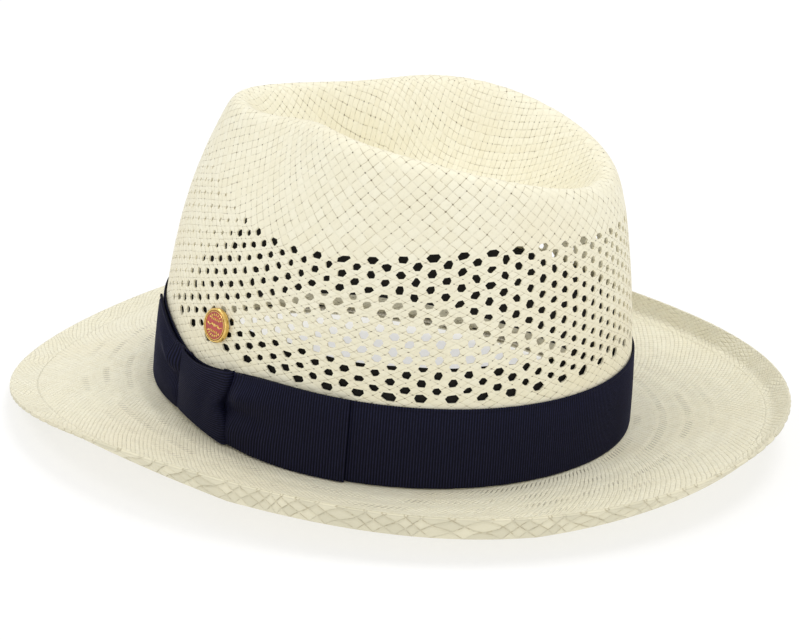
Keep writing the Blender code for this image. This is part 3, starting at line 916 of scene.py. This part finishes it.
def make_ornament(mat):
    """The raised gilt lines on the enamel."""
    builder = bmesh.new()
    add_ornament(builder)
    mesh = bpy.data.meshes.new("pin_ornament")
    builder.to_mesh(mesh)
    builder.free()
    across = LEVEL_UP.cross(BADGE_OUT).normalized()
    upright = BADGE_OUT.cross(across)
    turn = Matrix((across, upright, BADGE_OUT)).transposed().to_4x4()
    foot = Vector(BADGE["pos_m"]) + BADGE_OUT * (enamel_face() - ORNAMENT_SINK)
    mesh.transform(Matrix.Translation(foot) @ turn)
    mesh.materials.append(mat)
    obj = linked("pin_ornament", mesh)
    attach(obj, "pin")


def enamel_face():
    """How far the enamel's face is from the badge mount, along its axis."""
    place = Vector(BADGE["pos_m"])
    enamel = frame["nodes"]["pin_enamel"].data
    return max((v.co - place).dot(BADGE_OUT) for v in enamel.vertices)


def metal_material(name, colour, roughness):
    r = Recipe(name, roughness, metallic=1.0)
    wear = r.noise(500.0, 3.0)
    r.colour(r.mix(r.ramp(wear, 0.3, 0.7), tuple(0.8 * c for c in colour), colour))
    r.link(r.ramp(wear, 0.2, 0.8, roughness * 0.8, roughness * 1.3), r.shader.inputs["Roughness"])
    r.bump(wear, 0.02 * MM)
    return r.mat


def enamel_material():
    r = Recipe("red_enamel", 0.16)
    pool = r.noise(350.0, 2.0)
    r.colour(r.mix(r.ramp(pool, 0.3, 0.7), (0.36, 0.016, 0.010), (0.50, 0.030, 0.015)))
    r.shader.inputs["Coat Weight"].default_value = 0.6
    r.shader.inputs["Coat Roughness"].default_value = 0.05
    r.bump(pool, 0.02 * MM)
    return r.mat


def dress_cad_nodes(nodes, mat):
    """Gives CAD nodes that stay in the picture a procedural material."""
    for name in nodes:
        mesh = frame["nodes"][name].data
        mesh.materials.clear()
        mesh.materials.append(mat)


# ---------------------------------------------------------------- stage


FLOOR_HALF = 4.0
FLOOR_DROP = 0.3 * MM  # below the hat's lowest point, so that the two don't touch
LIGHTS_AIM = (0, 0, 0.06)
# Place, size and power of each soft light
LIGHTS = {
    "key": ((0.3, -1.6, 2.1), 0.9, 8),
    "top": ((-0.4, 0.5, 2.4), 1.2, 17),
    "fill": ((2.0, 1.2, 0.9), 1.2, 6),
}
WORLD_STRENGTH = 0.75
CAMERA_AZIMUTH = 111.69 * DEG
CAMERA_ELEVATION = 22.32 * DEG
CAMERA_ROLL = 4.46 * DEG
CAMERA_DISTANCE = 0.911
CAMERA_TARGET = Vector((0, 1.6 * MM, 33.2 * MM))
CAMERA_LENS = 97.3
CAMERA_SENSOR = 36


def make_stage():
    """A pale floor that gives off some light, so that it reads as the photo's white ground."""
    half = FLOOR_HALF
    mesh = bpy.data.meshes.new("floor")
    corners = [(-half, -half, 0), (half, -half, 0), (half, half, 0), (-half, half, 0)]
    mesh.from_pydata(corners, [], [(0, 1, 2, 3)])
    floor = linked("floor", mesh)
    floor.location.z = -FLOOR_DROP
    r = Recipe("pale_floor", 0.7)
    speck = r.noise(3.0, 4.0)
    r.colour(r.mix(speck, (0.40, 0.40, 0.405), (0.41, 0.41, 0.41)))
    r.shader.inputs["Specular IOR Level"].default_value = 0.0
    r.shader.inputs["Emission Color"].default_value = (1, 1, 1, 1)
    r.shader.inputs["Emission Strength"].default_value = 0.6
    mesh.materials.append(r.mat)


def area_light(name, place, size, power):
    light = bpy.data.lights.new(name, "AREA")
    light.shape = "DISK"
    light.size = size
    light.energy = power
    obj = linked(name, light)
    obj.location = place
    obj.rotation_euler = (Vector(LIGHTS_AIM) - Vector(place)).to_track_quat("-Z", "Y").to_euler()


def make_lights():
    bpy.context.scene.view_settings.view_transform = "Standard"
    world = bpy.data.worlds.new("studio")
    bpy.context.scene.world = world
    world.use_nodes = True
    background = world.node_tree.nodes["Background"]
    background.inputs["Color"].default_value = (1.0, 1.0, 1.0, 1)
    background.inputs["Strength"].default_value = WORLD_STRENGTH
    for name, (place, size, power) in LIGHTS.items():
        area_light(name, place, size, power)


def make_camera():
    azimuth, elevation, roll = CAMERA_AZIMUTH, CAMERA_ELEVATION, CAMERA_ROLL
    level_back = Vector((math.sin(azimuth), -math.cos(azimuth), 0)) * math.cos(elevation)
    back = level_back + Vector((0, 0, math.sin(elevation)))
    right = Vector((math.cos(azimuth), math.sin(azimuth), 0))
    up = back.cross(right)
    rolled_right = right * math.cos(roll) + up * math.sin(roll)
    rolled_up = up * math.cos(roll) - right * math.sin(roll)
    turn = Matrix((rolled_right, rolled_up, back)).transposed().to_4x4()
    data = bpy.data.cameras.new("camera")
    data.lens = CAMERA_LENS
    data.sensor_width = CAMERA_SENSOR
    camera = linked("camera", data)
    camera.matrix_world = LEVEL @ Matrix.Translation(CAMERA_TARGET + back * CAMERA_DISTANCE) @ turn
    bpy.context.scene.camera = camera


# ---------------------------------------------------------------- everything


def main():
    make_camera()
    make_stage()
    make_lights()
    crown_mat = straw_material("straw_crown", crown_weave, (0.24, 0.75), 0.16 * MM, 0.7)
    brim_mat = straw_material("straw_brim", brim_weave, (0.12, 0.32), 0.26 * MM, 0.6, brim_ring_marks)
    finish_piece(make_crown(crown_mat), "hat", ("crown",))
    finish_piece(make_brim(brim_mat), "hat", ("brim",))
    inside = straw_material("straw_edge_inside", edge_weave, (0.12, 0.32), 0.26 * MM, 0.6)
    # The plait's straw is darkened with the braid tones: painted shade on the edge's outer face
    braid = straw_material("straw_edge_braid", braid_weave, (0.05, 0.3), 0.3 * MM, 0.7, tones=BRAID_PAINTED_SHADE_TONES)
    finish_piece(make_brim_edge(inside, braid), "hat", ("brim_edge",))
    ribbon = grosgrain_material("navy_grosgrain", (0.0068, 0.0072, 0.0210))
    finish_piece(make_hatband(ribbon), "hat", ("hatband_ribbon",))
    make_bow(ribbon)
    cotton = cotton_material("black_cotton", (0.010, 0.008, 0.006))
    finish_piece(make_sweatband(cotton), "hat", ("sweatband",))
    tape = cotton_material("tape_cotton", (0.62, 0.58, 0.48))
    dress_cad_nodes(("sweatband_reed", "sweatband_tape"), tape)
    dress_cad_nodes(("size_label",), cotton_material("label_cloth", (0.62, 0.6, 0.55)))
    gold = metal_material("gilt_metal", (0.9, 0.62, 0.2), 0.28)
    dress_cad_nodes(("pin_rim",), gold)
    dress_cad_nodes(("pin_enamel",), enamel_material())
    dress_cad_nodes(("pin_post",), metal_material("post_steel", (0.6, 0.6, 0.6), 0.3))
    brass = metal_material("clutch_brass", (0.78, 0.58, 0.26), 0.35)
    dress_cad_nodes(("pin_clutch_cup", "pin_clutch_wing_left", "pin_clutch_wing_right"), brass)
    make_ornament(gold)


main()
